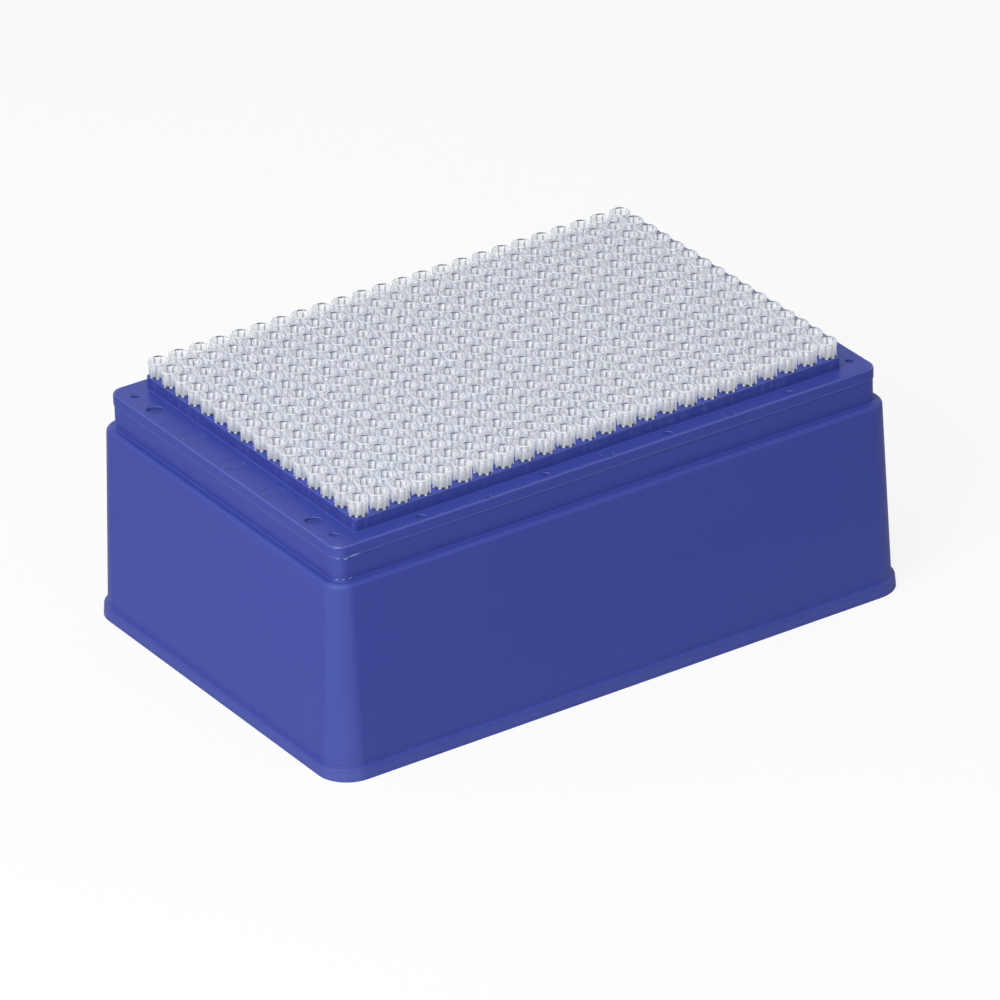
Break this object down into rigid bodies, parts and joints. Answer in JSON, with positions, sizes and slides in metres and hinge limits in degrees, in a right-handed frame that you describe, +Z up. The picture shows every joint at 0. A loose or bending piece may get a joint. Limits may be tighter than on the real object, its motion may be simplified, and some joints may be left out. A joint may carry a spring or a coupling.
{
  "type": "pipette tip rack",
  "caption": "Open rack of ribbed clear pipette tips standing in the perforated deck of a drafted, open-bottomed blue base with a lid seat.",
  "frame": {"origin": "centre of the footprint, on the surface that the foot stands on", "axes": "+X along the long side, +Y along the short side, +Z up towards the rims of the tips"},
  "size_m": [0.1278, 0.0854, 0.0522],
  "materials": {
    "base_plastic": "royal blue polypropylene, satin",
    "deck_plastic": "royal blue polypropylene, satin",
    "tip_plastic": "clear natural polypropylene, polished"
  },
  "bodies": {
    "root": {"base": "base_plastic", "deck": "deck_plastic", "tip_column_01": "tip_plastic", "tip_column_02": "tip_plastic", "tip_column_03": "tip_plastic", "tip_column_04": "tip_plastic", "tip_column_05": "tip_plastic", "tip_column_06": "tip_plastic", "tip_column_07": "tip_plastic", "tip_column_08": "tip_plastic", "tip_column_09": "tip_plastic", "tip_column_10": "tip_plastic", "tip_column_11": "tip_plastic", "tip_column_12": "tip_plastic", "tip_column_13": "tip_plastic", "tip_column_14": "tip_plastic", "tip_column_15": "tip_plastic", "tip_column_16": "tip_plastic", "tip_column_17": "tip_plastic", "tip_column_18": "tip_plastic", "tip_column_19": "tip_plastic", "tip_column_20": "tip_plastic", "tip_column_21": "tip_plastic", "tip_column_22": "tip_plastic", "tip_column_23": "tip_plastic", "tip_column_24": "tip_plastic"}
  },
  "joints": []
}
